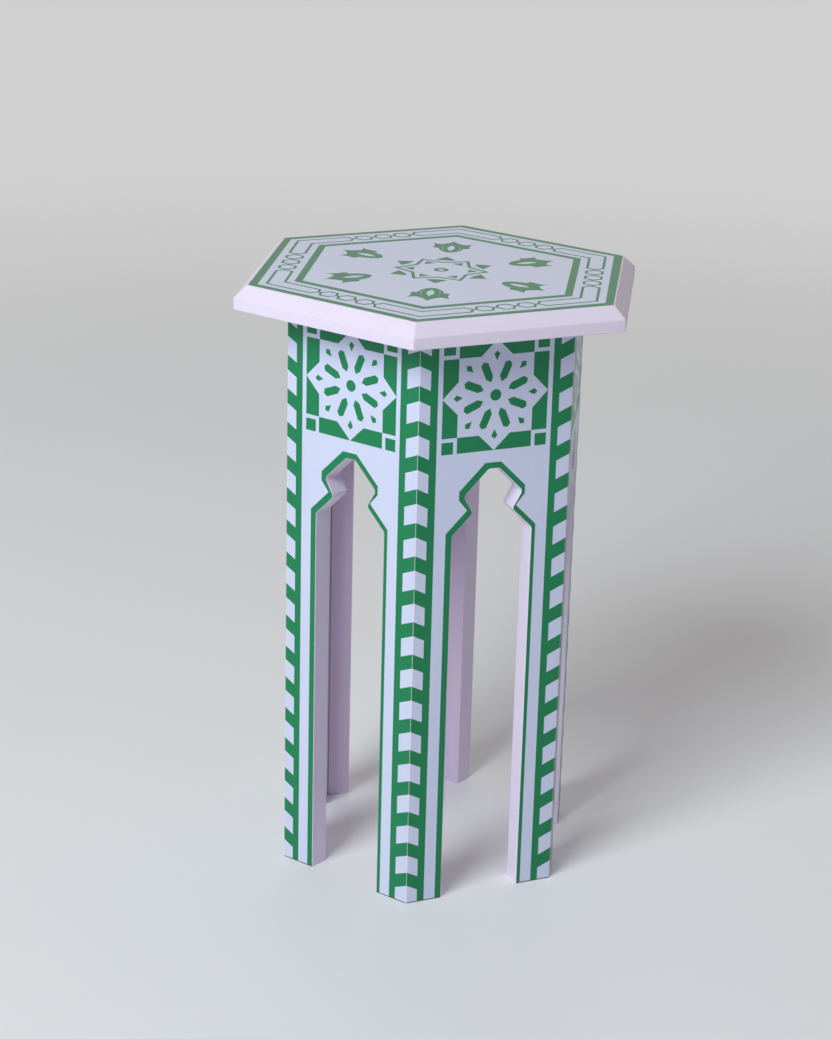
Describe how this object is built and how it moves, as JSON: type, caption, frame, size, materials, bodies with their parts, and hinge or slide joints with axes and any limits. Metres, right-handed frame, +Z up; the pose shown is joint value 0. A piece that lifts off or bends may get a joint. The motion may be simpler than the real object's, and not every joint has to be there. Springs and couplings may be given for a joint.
{
  "type": "hexagonal side table",
  "caption": "Small hexagonal side table with a chamfered top and mitred side panels cut by lobed keel arches into legs; painted lilac, with a printed green geometric pattern.",
  "frame": {"origin": "on the floor, under the middle of the table", "axes": "+Z up; +X through a corner of the hexagon; the panel named side_panel_1 faces -Y"},
  "size_m": [0.3496, 0.3032, 0.5],
  "materials": {
    "lilac_paint": "satin paint on board",
    "green_print": "satin printed ink on the painted board",
    "bare_plywood": "unfinished plywood",
    "bare_beech": "unfinished beech",
    "zinc_plate": "zinc plated steel"
  },
  "bodies": {
    "root": {"top_board": "lilac_paint", "side_panel_1": "lilac_paint", "side_panel_2": "lilac_paint", "side_panel_3": "lilac_paint", "side_panel_4": "lilac_paint", "side_panel_5": "lilac_paint", "side_panel_6": "lilac_paint", "corner_spline_1": "bare_plywood", "corner_spline_2": "bare_plywood", "corner_spline_3": "bare_plywood", "corner_spline_4": "bare_plywood", "corner_spline_5": "bare_plywood", "corner_spline_6": "bare_plywood", "corner_block_1": "bare_beech", "corner_block_2": "bare_beech", "corner_block_3": "bare_beech", "corner_block_4": "bare_beech", "corner_block_5": "bare_beech", "corner_block_6": "bare_beech", "top_screw_1": "zinc_plate", "top_screw_2": "zinc_plate", "top_screw_3": "zinc_plate", "top_screw_4": "zinc_plate", "top_screw_5": "zinc_plate", "top_screw_6": "zinc_plate"}
  },
  "joints": []
}
